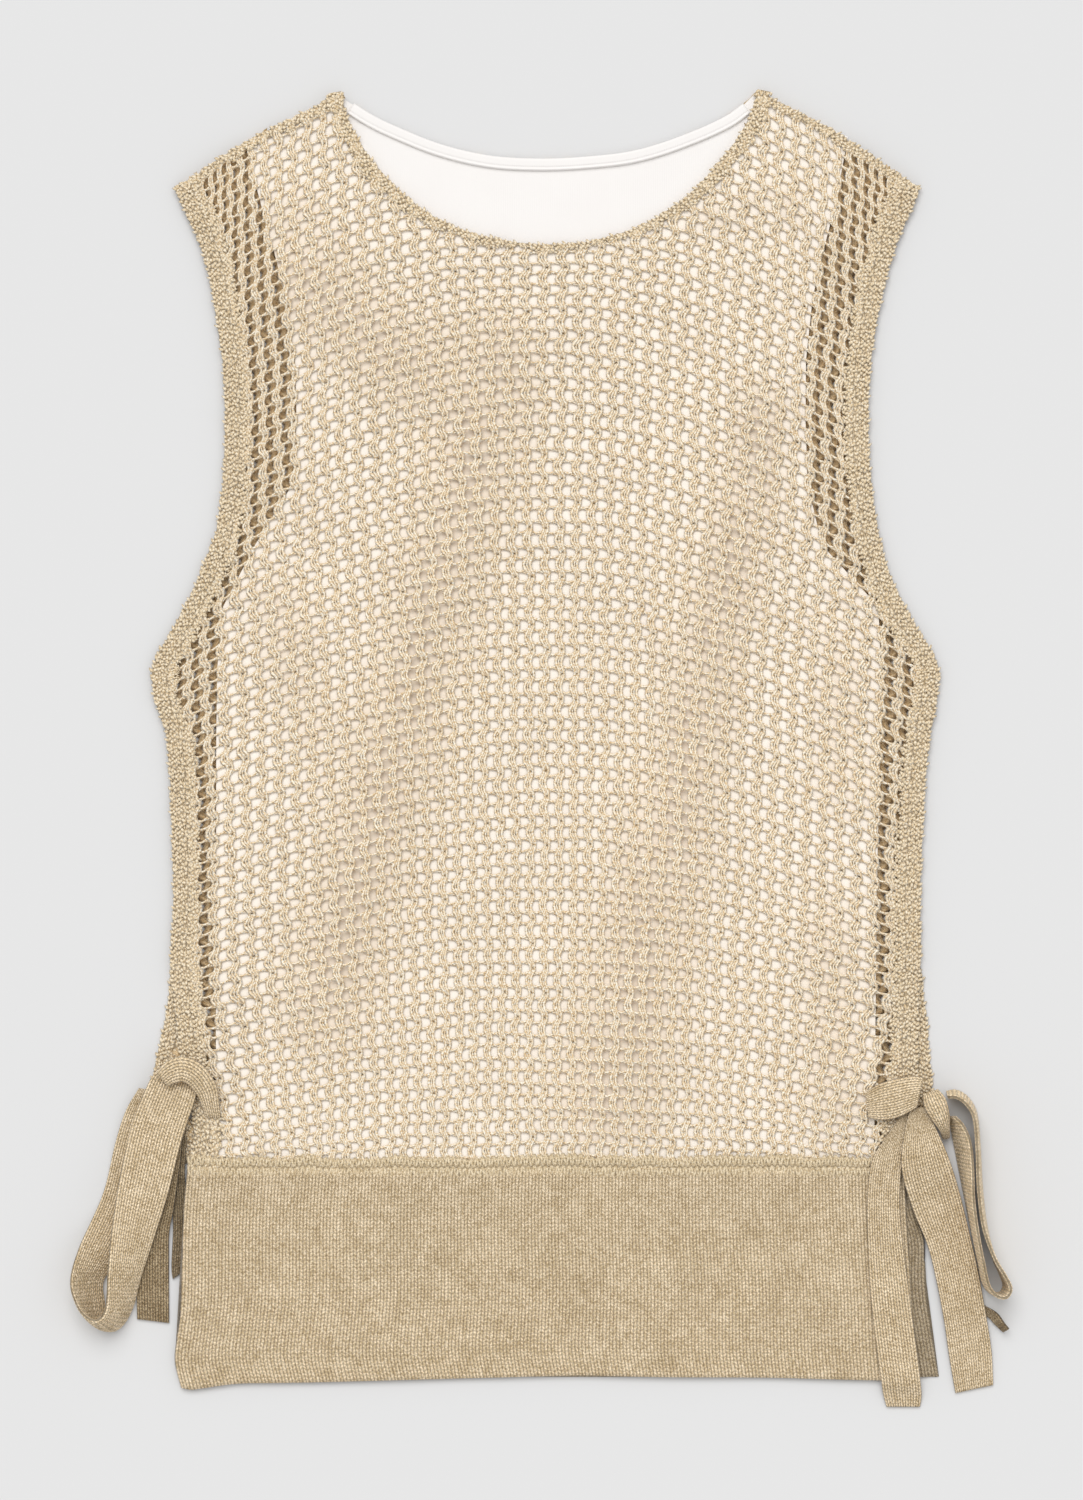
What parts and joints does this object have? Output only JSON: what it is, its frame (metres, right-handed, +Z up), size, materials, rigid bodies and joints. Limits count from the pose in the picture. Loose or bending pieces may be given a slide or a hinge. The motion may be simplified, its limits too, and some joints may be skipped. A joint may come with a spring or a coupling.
{
  "type": "sleeveless openwork knit top with side ties, laid flat",
  "caption": "Sleeveless openwork knit top, laid flat: net front and back over a white jersey lining, plain knit hem band and bows at the side slits.",
  "frame": {"origin": "centre of the footprint, on the surface that the top lies on", "axes": "+Y from the hem to the neck, +X to the right as seen from above, +Z up out of the surface"},
  "size_m": [0.4692, 0.6596, 0.0225],
  "materials": {
    "openwork_knit": "openwork mesh knitted from a marled cream, tan and gold yarn with a slight sheen",
    "plain_knit": "plain fine knit of the same marled yarn",
    "lining_jersey": "smooth matt white jersey"
  },
  "bodies": {
    "root": {"back_net": "openwork_knit", "back_hem_band": "plain_knit", "back_lining": "lining_jersey", "front_lining": "lining_jersey", "neck_binding": "lining_jersey", "front_net": "openwork_knit", "front_hem_band": "plain_knit", "right_tie_root": "plain_knit", "right_knot": "plain_knit", "right_front_tail": "plain_knit", "right_side_tail": "plain_knit", "right_back_tail": "plain_knit", "right_loop": "plain_knit", "left_knot": "plain_knit", "left_loop": "plain_knit", "left_outer_tail": "plain_knit", "left_inner_tail": "plain_knit"}
  },
  "joints": []
}
